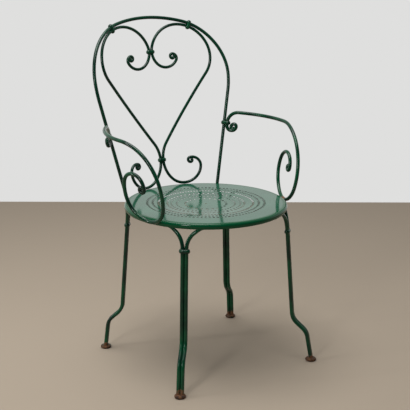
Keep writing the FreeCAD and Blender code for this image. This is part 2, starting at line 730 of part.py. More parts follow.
meet = size("lobe_angle")
pair = []
for x, z, radius in ((lobe_x, lobe_z, lobe_radius), (shoulder_x, shoulder_z, size("shoulder_radius"))):
    pair.append(place_on_back(x + radius * cos(meet), z + radius * sin(meet), meet - 90))
hoop_collar = tie("hoop_collar_left", pair, ("heart_bar", "hoop_bar"), [heart_tool, hoop_tool])
arm_walk = Walk((arm_length, arm_collar_height), -90)
pair = (place_on_back(stile_x, arm_collar_height, stile_heading), on_arm(arm_walk)[0])
arm_collar = tie("arm_collar_left", pair, ("hoop_bar", "arm_bar"), [hoop_tool, arm_tool])
collars += [hoop_collar, arm_collar]

# The sitter's right
others = []
for source in rods + feet + [c for c in collars if "left" in c.Label]:
    others.append(mirror(source.Label.replace("left", "right"), source))

doc.recompute()
nodes = [seat_ring, seat_pan, back_hoop, left_heart, right_heart, left_arm, right_arm]
nodes += rods + collars + feet + others
problems = []
for item in doc.Objects:
    if "Invalid" in item.State or "Error" in item.State:
        problems.append(item.Name)
for node in nodes:
    if node.Shape.isNull() or not node.Shape.isValid() or len(node.Shape.Solids) != 1:
        problems.append(node.Label)
if problems:
    raise SystemExit("not sound: " + ", ".join(problems))

# The parts are handed out with the origin on the floor, in the middle of the chair's length
depth = Part.makeCompound([node.Shape for node in nodes]).optimalBoundingBox(False)
to_middle = Vector(0, -(depth.YMin + depth.YMax) / 2, 0)
os.makedirs("parts", exist_ok=True)
for node in nodes:
    shape = node.Shape.copy()
    shape.translate(to_middle)
    shape.exportStep("parts/%s.step" % node.Label)
    print(node.Label, round(shape.Volume, 1))
print("moved by", to_middle)
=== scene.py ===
"""Garden armchair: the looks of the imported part.

Every bent bar is a smooth round tube along the part's own centre line, the seat is a perforated sheet
with a rolled edge, and collars and feet are rounded forms. Lengths are metres; +Z is up, the sitter looks
along -Y.
"""

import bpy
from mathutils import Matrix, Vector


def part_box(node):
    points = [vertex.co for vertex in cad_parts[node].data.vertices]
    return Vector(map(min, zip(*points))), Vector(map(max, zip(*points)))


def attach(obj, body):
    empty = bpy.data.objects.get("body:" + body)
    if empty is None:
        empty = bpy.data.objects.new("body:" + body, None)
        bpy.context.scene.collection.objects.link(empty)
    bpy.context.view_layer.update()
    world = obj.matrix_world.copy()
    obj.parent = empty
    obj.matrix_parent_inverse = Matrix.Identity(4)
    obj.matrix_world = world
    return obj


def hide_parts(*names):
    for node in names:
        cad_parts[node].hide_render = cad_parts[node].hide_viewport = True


bl_info = {
    "name": "Garden armchair",
    "version": (1, 0, 0),
    "blender": (4, 5, 0),
    "location": "3D View > Sidebar > Chair",
    "description": "Builds a garden armchair of bent round bar with a perforated seat",
    "category": "Object",
}

import math

import bmesh
import bpy
import numpy as np
from bpy.props import FloatProperty, FloatVectorProperty, PointerProperty
from mathutils import Matrix, Vector

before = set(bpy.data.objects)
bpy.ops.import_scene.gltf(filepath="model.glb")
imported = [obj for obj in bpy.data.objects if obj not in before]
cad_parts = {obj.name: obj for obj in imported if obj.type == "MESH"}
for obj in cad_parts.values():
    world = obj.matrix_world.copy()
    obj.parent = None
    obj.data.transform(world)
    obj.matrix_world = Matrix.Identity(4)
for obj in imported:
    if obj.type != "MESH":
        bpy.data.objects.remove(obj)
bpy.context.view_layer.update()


def linear(code):
    """sRGB hex colour as linear red, green and blue."""
    values = [int(code[place:place + 2], 16) / 255 for place in (1, 3, 5)]
    return [v / 12.92 if v <= 0.04045 else ((v + 0.055) / 1.055) ** 2.4 for v in values]


def size(key, value, description):
    """A size that a user can change: its key tells whether it is an angle in degrees, a ratio or mm."""
    name = key.replace("_angle", "").replace("_ratio", "").replace("_", " ").capitalize()
    words = {"name": name, "description": description}
    if key.endswith("_angle"):
        return FloatProperty(**words, default=math.radians(value), unit="ROTATION")
    if key.endswith("_ratio"):
        return FloatProperty(**words, default=value)
    return FloatProperty(**words, default=value / 1000, unit="LENGTH")


def hex_colour(name, description, code):
    """A colour that a user can change, from its sRGB hex code."""
    return FloatVectorProperty(name=name, description=description, default=linear(code), subtype="COLOR")


# Driving sizes of the part
PART_SIZES = (
    ("seat_height", 438, "Floor to the top of the rolled edge"),
    ("seat_radius", 220, "Outside of the rolled edge"),
    ("seat_dish", 5, "Depth of the middle below the edge"),
    ("sheet_thickness", 1.2, "Pressed steel sheet"),
    ("ring_bar", 12, "Round bar inside the rolled edge, diameter"),
    ("fit_gap", 0.2, "Clearance between pieces that are seated together"),
    ("hoop_bar", 9.5, "Back hoop, diameter"),
    ("heart_bar", 8.4, "Heart rods, diameter"),
    ("arm_bar", 10, "Arm rods, diameter"),
    ("leg_bar", 10, "Leg rods, diameter"),
    ("back_rise", 471.7, "Top of the rolled edge to the middle of the hoop's bar at its crown"),
    ("back_lean_angle", 10.9, "Lean of the back from upright"),
    ("back_flare_ratio", 0.42, "Growth of the back's plan radius for each mm of height"),
    ("hoop_overhang", 1.15, "How far the hoop at its widest stands outside the rolled edge"),
    ("crown_half_angle", 14, "Hoop, half of the arc over the top"),
    ("shoulder_radius", 147.6, "Hoop, corner between top and side"),
    ("shoulder_angle", 78.3, "Hoop, turn of that corner"),
    ("side_radius", 262, "Hoop, easing into the straight stile"),
    ("stile_slant_angle", 12.6, "Straight stiles, slant towards the middle"),
    ("stile_bite", 1.2, "Depth of the saddle where a stile lies on the rolled edge"),
    ("lobe_overlap", 2.31, "How far the circle of a lobe would pass its rod at the throat"),
    ("lobe_angle", 66.9, "Where lobe and hoop meet, seen from the shoulder's centre"),
    ("waist_rise", 18.5, "Lower heart collar above the middle of the lower scroll"),
    ("waist_radius", 80, "Heart, bend above the lower collar"),
    ("throat_radius", 47, "Upper scroll, past the lobe"),
    ("throat_after_angle", 50, "Upper scroll, turn below the collar"),
    ("upper_scroll_radius", 38, "Upper scroll, its bowl"),
    ("upper_scroll_angle", 100, "Upper scroll, turn of its bowl"),
    ("upper_curl_radius", 12, "Upper scroll, where it closes"),
    ("upper_curl_angle", 120, "Upper scroll, turn where it closes"),
    ("lower_scroll_radius", 51.5, "Lower scroll, its bowl"),
    ("lower_scroll_reach", 63.5, "Lower scroll, middle of the bowl from the centre line"),
    ("lower_scroll_angle", 85, "Lower scroll, where its bowl ends, past level"),
    ("lower_curl_radius", 22, "Lower scroll, where it closes"),
    ("lower_curl_angle", 115, "Lower scroll, turn where it closes"),
    ("heart_tip_radius", 6.5, "Tight curl at the ends of the heart rods"),
    ("tip_angle", 165, "Turn of the tight curls at the ends of hearts and arms"),
    ("arm_seat_angle", 17.6, "Where the arm meets the seat, forward of the side"),
    ("arm_bite", 0.4, "Depth of the saddle where an arm lies on the rolled edge"),
    ("arm_toe_angle", 16.8, "Turn of the arm's loop from fore and aft"),
    ("arm_lean_angle", 13.5, "Outward lean of the arm where it meets the seat"),
    ("arm_bow", 960, "Radius that takes the lean out of the arm higher up"),
    ("arm_straight", 43.5, "Arm, straight in plan behind its foot"),
    ("arm_collar_rise", 170, "Top of the rolled edge to the arm collar"),
    ("arm_side_angle", -60, "Where the arm lies beside the stile, in plan"),
    ("arm_foot_radius", 53, "Arm loop, front lower bend"),
    ("arm_foot_angle", 80.6, "Arm loop, turn of that bend"),
    ("arm_rise_angle", 1.7, "Slope of the arm rest, up towards the back"),
    ("arm_back_radius", 31, "Arm, bend down to the collar"),
    ("arm_scroll_drop", 6, "Arm, straight between its collar and the scroll"),
    ("arm_scroll_radius", 16, "Arm, scroll behind the collar"),
    ("arm_scroll_angle", 105, "Arm, turn of that scroll"),
    ("arm_tuck_ratio", 0.17, "Arm, how far its scroll follows the slant of the stile"),
    ("arm_curl_radius", 10.5, "Arm, where that scroll closes"),
    ("arm_curl_angle", 90, "Arm, turn where that scroll closes"),
    ("arm_loop_radius", 76.6, "Arm loop, rear lower bend"),
    ("arm_loop_angle", 107.6, "Arm loop, turn of that bend"),
    ("arm_loop_top", 34, "Arm loop, bend at its top"),
    ("arm_loop_drop", 35.5, "Arm loop, bend down to its end"),
    ("arm_drop_angle", 96, "Arm loop, turn of that bend"),
    ("arm_tip_radius", 7.5, "Tight curl at the ends of the arm rods"),
    ("collar_height", 12, "Cast collars, along the bars"),
    ("collar_wall", 4, "Cast collars, metal outside each bar"),
    ("front_leg_angle", 42.4, "Front leg collars, forward of the side"),
    ("front_foot_angle", 43.8, "Front feet, forward of the side"),
    ("rear_leg_angle", 40.8, "Rear leg collars, backward of the side"),
    ("rear_foot_angle", 40.8, "Rear feet, backward of the side"),
    ("leg_collar_drop", 72, "Top of the rolled edge down to the leg collars"),
    ("front_collar_out", 2.5, "Front leg collars, outside the edge of the seat"),
    ("rear_collar_out", -3, "Rear leg collars, outside the edge of the seat"),
    ("leg_splay", 19, "How far a leg moves out from collar to knee"),
    ("knee_height", 119, "Floor to the knee"),
    ("knee_radius", 45, "Bend at the knee"),
    ("shin_step", 40.5, "How far a leg moves out from knee to ankle"),
    ("ankle_height", 83, "Floor to the ankle"),
    ("ankle_radius", 40, "Bend at the ankle"),
    ("front_foot_out", 77, "Front feet, outside the edge of the seat"),
    ("rear_foot_out", 66.5, "Rear feet, outside the edge of the seat"),
    ("leg_spread_angle", 13.5, "Where a leg rod ends under the ring, to each side of the leg"),
    ("leg_bite", 2.5, "Depth of the saddle where a leg rod ends under the ring"),
    ("foot_diameter", 30, "Foot cup, across"),
    ("foot_height", 9, "Foot cup, floor to top"),
)
# Sizes of its looks only
LOOK_SIZES = (
    ("rim_droop_ratio", 1.3, "How much the lower half of the rolled edge is drawn down"),
    ("outer_hole", 5.8, "Diameter of the holes in the two outer rings"),
    ("inner_hole", 6.2, "Diameter of the holes in the inner rings"),
    ("pierced_radius", 166, "Radius of the sheet with holes"),
    ("thin_radius", 135.6, "Inside it the sheet is drawn thinner, so that its holes let light through"),
    ("dish_from", 50, "Radius where the level middle starts to rise"),
    ("dish_to", 165, "Radius where the sheet is level with the rolled edge"),
)


class ChairSizes(bpy.types.PropertyGroup):
    """Driving sizes of the armchair, from the tables above."""

    __annotations__ = {key: size(key, *row) for key, *row in PART_SIZES + LOOK_SIZES}


class ChairColours(bpy.types.PropertyGroup):
    """Colours of the finishes, the floor and the backdrop."""

    enamel: hex_colour("Enamel", "Gloss paint", "#054B2D")
    # Deep enamel: darker patches of the paint, and the painted shade mixed into the back's paint
    enamel_deep: hex_colour("Deep enamel", "Thick paint", "#05291D")
    sheet_enamel: hex_colour("Seat enamel", "Gloss paint, faded by sun", "#2B5E48")
    # Pale grey green painted highlight on top of one arm's rear bend
    chalk: hex_colour("Worn enamel", "Chalky paint", "#9DA89F")
    rust: hex_colour("Rust", "Dry rust", "#6E4B32")
    rust_dark: hex_colour("Dark rust", "Old rust", "#2A1E17")
    floor: hex_colour("Floor", "Pale floor", "#A29585")
    backdrop: hex_colour("Backdrop", "Pale wall", "#DFDFDE")


# Centre lines

GRAIN = 0.003  # step along a line
WIDEST_STEP = math.radians(7)  # widest turn of a step in a bend
EYE, EYE_TURN = 0.58, math.radians(140)  # end of a scroll's eye: radius over the bar's diameter, and turn


class Walk:
    """A flat curve that grows by straight runs and arcs, kept as dense points (x, y)."""

    def __init__(self, x, y, heading):
        self.parts = [np.array([[x, y]])]
        self.heading = heading

    def end(self):
        """Last point."""
        return self.parts[-1][-1]

    def run(self, length):
        """Straight on: end + reach * (cos h, sin h)."""
        reach = np.linspace(0, length, max(2, int(length / GRAIN)))[1:, None]
        self.parts.append(self.end() + reach * [math.cos(self.heading), math.sin(self.heading)])
        return self

    def bend(self, radius, turn):
        """An arc about end + side * radius * (-sin h, cos h); a positive turn goes to the left."""
        count = max(3, int(abs(turn) * radius / GRAIN), int(abs(turn) / WIDEST_STEP))
        side = math.copysign(1, turn)
        middle = self.end() + side * radius * np.array([-math.sin(self.heading), math.cos(self.heading)])
        angle = self.heading + np.linspace(0, turn, count + 1)[1:]
        self.parts.append(middle + side * radius * np.stack([np.sin(angle), -np.cos(angle)], 1))
        self.heading += turn
        return self

    def eye(self, radius, turn, bar):
        """A tight curl whose end closes its own eye."""
        return self.bend(radius, turn).bend(EYE * bar, math.copysign(EYE_TURN, turn))

    def points(self):
        """All points in one array."""
        return np.concatenate(self.parts)


def unit(vector):
    """The vectors at length one."""
    return vector / np.linalg.norm(vector, axis=-1, keepdims=True)


def place_of(ends):
    """Middle and direction of a short step."""
    return ends.mean(0), unit(ends[1] - ends[0])


def arc_points(start, direction, end):
    """Arc that leaves start along direction and meets end: start + R (sin t d + (1 - cos t) n)."""
    chord = end - start
    normal = unit(chord - direction * chord.dot(direction))
    half = math.atan2(chord.dot(normal), chord.dot(direction))
    radius = np.linalg.norm(chord) / (2 * math.sin(half))
    turn = np.linspace(0, 2 * half, max(8, int(2 * half * radius / GRAIN)))[1:, None]
    return start + radius * (np.sin(turn) * direction + (1 - np.cos(turn)) * normal)


def arc_pair(start, direction, end, arrival):
    """Two arcs tangent to each other, between two points with given directions."""
    chord = end - start
    ahead = chord.dot(direction + arrival)
    curl = 2 * (1 - direction.dot(arrival))
    reach = (math.sqrt(ahead ** 2 + curl * chord.dot(chord)) - ahead) / curl
    middle = (start + end + (direction - arrival) * reach) / 2
    turned = unit(middle - start - direction * reach)
    return np.concatenate([arc_points(start, direction, middle), arc_points(middle, turned, end)])


class Layout:
    """Centre lines and collar places of the chair, worked out from its sizes as in the part's source."""

    def __init__(self, s):
        self.s = s
        self.roll = s.ring_bar / 2 + s.fit_gap + s.sheet_thickness
        self.ring_radius = s.seat_radius - self.roll
        self.ring_height = s.seat_height - self.roll
        low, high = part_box("seat_pan")
        self.middle = np.array([0, (low.y + high.y) / 2, 0])
        self.lines = {}
        self.collars = {}
        self.back()
        self.arms()
        self.legs()

    def depth(self, x, z):
        """How far back the back lies: lean * rise less the bow of a plan circle that widens with height."""
        s = self.s
        rise = z - s.seat_height
        plan = self.base_plan + s.back_flare_ratio * (rise - self.base_rise)
        return self.ring_radius + math.tan(s.back_lean_angle) * rise - plan + np.sqrt(plan ** 2 - x ** 2)

    def on_back(self, flat):
        """Points of the front view laid on the back's surface."""
        x, z = flat[:, 0], flat[:, 1]
        return np.stack([x, self.depth(x, z), z], 1) + self.middle

    def back(self):
        """Hoop, half of it made and mirrored: crown, shoulder, easing and straight stile. Then the heart."""
        s = self.s
        crown = s.crown_half_angle
        stile_heading = -math.pi / 2 - s.stile_slant_angle
        shoulder_x = s.seat_radius + s.hoop_overhang - s.hoop_bar / 2 - s.shoulder_radius
        walk = Walk(0, s.seat_height + s.back_rise, 0)
        walk.bend(s.shoulder_radius + shoulder_x / math.sin(crown), -crown)
        shoulder = walk.end() - s.shoulder_radius * np.array([math.sin(crown), math.cos(crown)])
        walk.bend(s.shoulder_radius, -s.shoulder_angle)
        walk.bend(s.side_radius, stile_heading + crown + s.shoulder_angle)
        top = walk.end()
        slant = math.tan(s.stile_slant_angle)
        walk.run((top[1] - self.ring_height + self.roll) / math.cos(s.stile_slant_angle))
        base_x = top[0] - (top[1] - self.ring_height) * slant
        base_reach = s.seat_radius + s.hoop_bar / 2 - s.stile_bite
        self.base_rise = self.ring_height - s.seat_height
        bow = self.ring_radius + math.tan(s.back_lean_angle) * self.base_rise
        bow -= math.sqrt(base_reach ** 2 - base_x ** 2)
        self.base_plan = (base_x ** 2 + bow ** 2) / (2 * bow)
        half = self.on_back(walk.points())
        self.lines["hoop"] = np.concatenate([half[::-1] * [-1, 1, 1], half[1:]])
        self.arm_height = s.seat_height + s.arm_collar_rise
        self.stile = np.array([top[0] - (top[1] - self.arm_height) * slant, self.arm_height])
        self.stile_heading = stile_heading
        self.heart(shoulder, shoulder_x)

    def heart(self, shoulder, shoulder_x):
        """Heart rod, from the lower collar up through side, lobe and throat to the upper scroll, and down to
        the lower scroll; and the collars of the back. The lobe's circle lies against the hoop's shoulder.
        """
        s = self.s
        near = s.heart_bar / 2 + s.fit_gap / 2
        side_by_side = (s.hoop_bar + s.heart_bar) / 2 + s.fit_gap
        toward = np.array([math.cos(s.lobe_angle), math.sin(s.lobe_angle)])
        room = shoulder_x + (s.shoulder_radius - side_by_side) * toward[0]
        lobe_radius = (room - near + s.lobe_overlap) / (1 + toward[0])
        lobe = shoulder + (s.shoulder_radius - side_by_side - lobe_radius) * toward
        bowl = s.seat_height + s.heart_bar / 2 + s.lower_scroll_radius
        waist = np.array([near, bowl + s.waist_rise])
        rise = lobe - waist - [s.waist_radius, 0]
        swing = s.waist_radius + lobe_radius
        diagonal = math.sqrt(rise.dot(rise) - swing ** 2)
        heading = math.atan2(rise[1], rise[0]) - math.atan2(swing, diagonal)
        throat_gap = lobe_radius - s.throat_radius
        throat = math.acos((near + s.throat_radius - lobe[0]) / throat_gap)
        upper = Walk(*waist, math.pi / 2).bend(s.waist_radius, heading - math.pi / 2).run(diagonal)
        upper.bend(lobe_radius, throat + math.pi / 2 - heading)
        upper.bend(s.throat_radius, math.pi - throat + s.throat_after_angle)
        upper.bend(s.upper_scroll_radius, s.upper_scroll_angle).bend(s.upper_curl_radius, s.upper_curl_angle)
        upper.eye(s.heart_tip_radius, s.tip_angle, s.heart_bar)
        reach = s.lower_scroll_reach - near
        bowl_radius = s.lower_scroll_radius
        neck = (reach ** 2 + s.waist_rise ** 2 - bowl_radius ** 2) / (2 * (reach - bowl_radius))
        neck_turn = math.atan2(s.waist_rise, neck - reach)
        lower = Walk(*waist, -math.pi / 2).bend(neck, neck_turn)
        lower.bend(bowl_radius, math.pi / 2 + s.lower_scroll_angle - neck_turn)
        lower.bend(s.lower_curl_radius, s.lower_curl_angle)
        lower.eye(s.heart_tip_radius, s.tip_angle, s.heart_bar)
        self.lines["heart"] = self.on_back(np.concatenate([lower.points()[::-1], upper.points()[1:]]))

        heart, hoop = s.heart_bar / 2, s.hoop_bar / 2
        for name, height in (("top", lobe[1] + throat_gap * math.sin(throat)), ("bottom", waist[1])):
            pair = (self.place([-near, height], math.pi / 2), self.place([near, height], math.pi / 2))
            self.collars["heart_%s_collar" % name] = (pair, (heart, heart))
        across = s.lobe_angle - math.pi / 2
        lobe_side, hoop_side = lobe + lobe_radius * toward, shoulder + s.shoulder_radius * toward
        pair = (self.place(lobe_side, across), self.place(hoop_side, across))
        self.collars["hoop_collar_left"] = (pair, (heart, hoop))

    def place(self, point, heading):
        """Point and direction of a bar of the back."""
        step = np.outer([-0.5, 0.5], [math.cos(heading), math.sin(heading)]) * GRAIN
        return place_of(self.on_back(np.array(point) + step))

    def arms(self):
        """Arm: a flat curve in an upright sheet that leans out and turns in towards the stile."""
        s = self.s
        self.toe = np.array([math.sin(s.arm_toe_angle), math.cos(s.arm_toe_angle), 0])
        self.outward = around(-s.arm_toe_angle, 1)
        foot = around(-s.arm_seat_angle, s.seat_radius + s.arm_bar / 2 - s.arm_bite)
        self.turn_start = foot + self.toe * s.arm_straight
        stile = np.array([self.stile[0], self.depth(*self.stile), 0])
        end = stile + around(s.arm_side_angle, (s.hoop_bar + s.arm_bar) / 2 + s.fit_gap)
        chord = end - self.outward * self.lean(self.arm_height) - self.turn_start
        self.plan_bend = chord.dot(chord) / (-2 * chord.dot(self.outward))
        turn = 2 * math.asin(np.linalg.norm(chord) / (2 * self.plan_bend))
        length = s.arm_straight + self.plan_bend * turn
        self.scroll_from = length - 2 * s.arm_back_radius
        # The front rises from its foot to the rest, whose bend is found so that it meets the collar
        level = s.arm_rise_angle
        front = Walk(0, self.ring_height, math.pi).bend(s.arm_foot_radius, -s.arm_foot_angle)
        steep = front.heading
        rest_x = length - s.arm_back_radius * (1 + math.sin(level)) - front.end()[0]
        rest_z = self.arm_height + s.arm_back_radius * math.cos(level) - front.end()[1]
        radius = (rest_z * math.cos(level) - rest_x * math.sin(level)) / (1 - math.cos(steep - level))
        front.bend(radius, level - steep)
        front.run((rest_x - radius * (math.sin(steep) - math.sin(level))) / math.cos(level))
        front.bend(s.arm_back_radius, -math.pi / 2 - level).run(s.arm_scroll_drop)
        front.bend(s.arm_scroll_radius, -s.arm_scroll_angle)
        front.bend(s.arm_curl_radius, -s.arm_curl_angle).eye(s.arm_tip_radius, -s.tip_angle, s.arm_bar)
        loop = Walk(0, self.ring_height, 0).bend(s.arm_loop_radius, s.arm_loop_angle)
        loop.bend(s.arm_loop_top, math.pi - s.arm_loop_angle).bend(s.arm_loop_drop, s.arm_drop_angle)
        loop.eye(s.arm_tip_radius, s.tip_angle, s.arm_bar)
        self.lines["arm"] = self.on_arm(np.concatenate([loop.points()[::-1], front.points()[1:]]))
        step = np.outer([0.5, -0.5], [0, GRAIN])
        ends = self.on_arm(np.array([length, self.arm_height]) + step)
        pair = (self.place(self.stile, self.stile_heading), place_of(ends))
        self.collars["arm_collar_left"] = (pair, (s.hoop_bar / 2, s.arm_bar / 2))

    def lean(self, height):
        """How far the arm leans out: rise * tan(lean) - rise^2 / (2 * bow)."""
        rise = height - self.ring_height
        return rise * math.tan(self.s.arm_lean_angle) - rise ** 2 / (2 * self.s.arm_bow)

    def tuck(self, reach, height):
        """How far the scroll is tucked in beside the stile: ratio * below^2 / (below + bar)."""
        below = np.maximum(0, self.arm_height - height) * (reach > self.scroll_from)
        return self.s.arm_tuck_ratio * below ** 2 / (below + self.s.arm_bar)

    def on_arm(self, flat):
        """Points of the side view laid on the arm's sheet: straight in plan, then a plan circle."""
        s = self.s
        before = np.minimum(flat[:, :1] - s.arm_straight, 0)
        turned = np.maximum(flat[:, :1] - s.arm_straight, 0) / self.plan_bend
        place = self.turn_start + self.toe * (before + self.plan_bend * np.sin(turned))
        place = place - self.outward * (self.plan_bend * (1 - np.cos(turned)) - self.lean(flat[:, 1:]))
        place = place + flat[:, 1:] * [0, 0, 1] - self.tuck(*flat.T)[:, None] * [1, 0, 0]
        return place + self.middle

    def legs(self):
        """Two bars a leg, side by side, straight with rounded corners, and spread under the ring."""
        s = self.s
        collar_height = s.seat_height - s.leg_collar_drop
        top = collar_height + s.collar_height / 2
        tip_height = self.ring_height - s.ring_bar / 2 - s.leg_bar / 2 + s.leg_bite
        rise = collar_height - s.knee_height
        legs = (("front", -s.front_leg_angle, s.front_collar_out, -s.front_foot_angle, s.front_foot_out),
                ("rear", s.rear_leg_angle, s.rear_collar_out, s.rear_foot_angle, s.rear_foot_out))
        self.feet = {}
        for name, angle, collar_out, foot_angle, foot_out in legs:
            base = around(angle, s.seat_radius + collar_out)
            outwards = around(foot_angle, s.seat_radius + foot_out) - base
            foot = np.linalg.norm(outwards)
            outwards = outwards / foot
            sideways = np.array([-outwards[1], outwards[0], 0])
            ankle = s.leg_splay + s.shin_step
            corners = np.array([(foot, 0), (ankle, s.ankle_height), (s.leg_splay, s.knee_height),
                                (-s.leg_splay * (top - collar_height) / rise, top)])
            flat = rounded(corners, (s.ankle_radius, s.knee_radius))
            upright = base + outwards * flat[:, :1] + flat[:, 1:] * [0, 0, 1]
            rising = unit(upright[-1] - upright[-2])
            for side, place in ((math.copysign(1, angle), "inner"), (-math.copysign(1, angle), "outer")):
                low = upright + sideways * side * (s.leg_bar + s.fit_gap) / 2
                tip_angle = angle + side * s.leg_spread_angle
                tip = around(tip_angle, self.ring_radius) + [0, 0, tip_height]
                fork = arc_pair(low[-1], rising, tip, around(tip_angle + math.pi / 2, side))
                self.lines["%s_leg_%s" % (name, place)] = np.concatenate([low, fork]) + self.middle
            centre = base + [0, 0, collar_height] + self.middle
            half = sideways * (s.leg_bar + s.fit_gap) / 2
            pair = ((centre - half, rising), (centre + half, rising))
            self.collars[name + "_left_leg_collar"] = (pair, (s.leg_bar / 2, s.leg_bar / 2))
            landing = foot + (ankle - foot) * s.foot_height / s.ankle_height
            self.feet[name + "_left_foot"] = base + outwards * landing + self.middle


def around(angle, radius):
    """A point on the floor: radius * (cos angle, sin angle, 0)."""
    return radius * np.array([math.cos(angle), math.sin(angle), 0])


def rounded(corners, radii):
    """Straight runs between corners, with an arc of the given radius at each inner corner."""
    ways = np.diff(corners, axis=0)
    headings = np.arctan2(ways[:, 1], ways[:, 0])
    lengths = np.hypot(ways[:, 0], ways[:, 1])
    walk = Walk(*corners[0], headings[0])
    trims = [0] + [r * math.tan(abs(t) / 2) for r, t in zip(radii, np.diff(headings))] + [0]
    for index, length in enumerate(lengths):
        walk.run(length - trims[index] - trims[index + 1])
        if index < len(radii):
            walk.bend(radii[index], headings[index + 1] - headings[index])
    return walk.points()


# Surfaces

SHARP = math.radians(40)  # corners sharper than this show as edges
WELD = 1e-6  # points closer than this are one
ROUND = 20  # points around a bar
DOME_ROWS, DOME = 6, 0.5  # low dome at a bar's end: its rows, and its height over the radius
HALF_TURN, SECTION = 17, 16  # points around each half of a collar, and around its section
# Collar's wall: share between the bars, what comes to it beside them, and how far its bore lies in the bars
BEAD_WALL, BEAD_SWELL, BEAD_BORE = 0.72, 0.42, -0.12
# Collar's height: share between the bars, and what comes to it beside them
BEAD_TALL, BEAD_TALLER = 0.8, 0.2
AROUND, SIDE = 384, 4  # points around the seat, and along the side of a hole's cell
# Rows of a hole's cell from its edge on top to its edge below: share of the way from the hole's rim
CELL_ROWS = (1, 0.4, 0, 0, 0.4, 1)
FADE = 1.6  # how fast the rust and painted shade at a hole's edge fade over its cell


def grid_faces(rows, columns, closed_rows, closed_columns):
    """Quads between the neighbours of a grid of vertices, as one array."""
    along, across = np.arange(rows - (not closed_rows)), np.arange(columns - (not closed_columns))
    r, c = np.meshgrid(along, across, indexing="ij")
    over, right = (r + 1) % rows, (c + 1) % columns
    quads = np.stack([r * columns + c, r * columns + right, over * columns + right, over * columns + c], -1)
    return quads.reshape(-1, 4)


def piece(name, vertices, faces, material, slot, node, marks=None):
    """A mesh object that rides on the body and stands for a node of the part."""
    mesh = bpy.data.meshes.new(name)
    mesh.from_pydata(vertices.reshape(-1, 3), [], faces)
    if marks is not None:
        # Rust and painted shade at the edges of the seat's holes
        bare = mesh.attributes.new("bare", "FLOAT", "POINT")
        bare.data.foreach_set("value", marks.astype(np.float32).ravel())
    shape = bmesh.new()
    shape.from_mesh(mesh)
    bmesh.ops.remove_doubles(shape, verts=shape.verts, dist=WELD)
    bmesh.ops.recalc_face_normals(shape, faces=shape.faces)
    shape.to_mesh(mesh)
    shape.free()
    mesh.shade_smooth()
    mesh.set_sharp_from_angle(angle=SHARP)
    mesh.materials.append(material)
    result = bpy.data.objects.new(name, mesh)
    bpy.context.scene.collection.objects.link(result)
    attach(result, "root")
    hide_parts(node)


def tube(points, radius, reference):
    """A circle carried along a path: p + r (cos a u + sin a v), with u the reference square to the path.

    A low dome closes each end. The radius may change along the path.
    """
    radius = radius * np.ones(len(points))
    along = unit(np.gradient(points, axis=0))
    dome = np.linspace(0, math.pi / 2, DOME_ROWS)
    before = points[0] - along[0] * (radius[0] * DOME * np.cos(dome))[:, None]
    after = points[-1] + along[-1] * (radius[-1] * DOME * np.sin(dome))[:, None]
    widths = np.concatenate([np.sin(dome) * radius[0], radius[1:-1], np.cos(dome) * radius[-1]])
    path = np.concatenate([before, points[1:-1], after])
    first, last = np.repeat(along[:1], DOME_ROWS, 0), np.repeat(along[-1:], DOME_ROWS, 0)
    along = np.concatenate([first, along[1:-1], last])
    u = unit(reference - along * (along @ reference)[:, None])
    v = np.cross(along, u)
    angle = np.linspace(0, 2 * math.pi, ROUND, endpoint=False)[None, :, None]
    circle = np.cos(angle) * u[:, None] + np.sin(angle) * v[:, None]
    return path[:, None] + widths[:, None, None] * circle, grid_faces(len(path), ROUND, False, True)


def bead(pair, radii, height, wall):
    """A rounded band around two bars: for a way a around them, the point is c + (r + w cos t) (cos a, sin a),
    where c and r are the nearer bar's, and h/2 sin t along the bars. It swells where it passes round a bar.
    """
    (first, one), (second, other) = pair
    axis = unit(one + other * math.copysign(1, one.dot(other)))
    across = second - first
    across = unit(across - axis * across.dot(axis))
    third = np.cross(axis, across)
    way = np.concatenate([np.linspace(-90, 90, HALF_TURN), np.linspace(90, 270, HALF_TURN)]) * math.pi / 180
    right = (np.arange(2 * HALF_TURN) < HALF_TURN)[:, None]
    swell = np.cos(way)[:, None] ** 2
    section = np.linspace(0, 2 * math.pi, SECTION, endpoint=False)[None]
    bulge = wall * (BEAD_WALL + BEAD_SWELL * swell) * np.maximum(np.cos(section), BEAD_BORE)
    rise = height / 2 * (BEAD_TALL + BEAD_TALLER * swell) * np.sin(section)
    reach = np.where(right, radii[1], radii[0]) + bulge
    centre = np.where(right[..., None], second, first)
    flat = np.cos(way)[:, None, None] * across + np.sin(way)[:, None, None] * third
    vertices = centre + flat * reach[..., None] + axis * rise[..., None]
    return vertices, grid_faces(2 * HALF_TURN, SECTION, True, True)


def turned(profile, count, centre=(0, 0, 0)):
    """A profile of (reach, height) turned about the upright axis: (r cos a, r sin a, z) + centre."""
    angle = np.linspace(0, 2 * math.pi, count, endpoint=False)[:, None]
    reach, height = profile[:, 0][None], profile[:, 1][None]
    vertices = np.stack([reach * np.cos(angle), reach * np.sin(angle), height + 0 * angle], -1)
    return vertices + np.array(centre), grid_faces(count, len(profile), True, False)


def band(profile):
    """A turned part of the seat, without the rust and painted shade of the holes' edges."""
    vertices, faces = turned(profile, AROUND)
    return vertices.reshape(-1, 3), faces, np.zeros(vertices.size // 3)


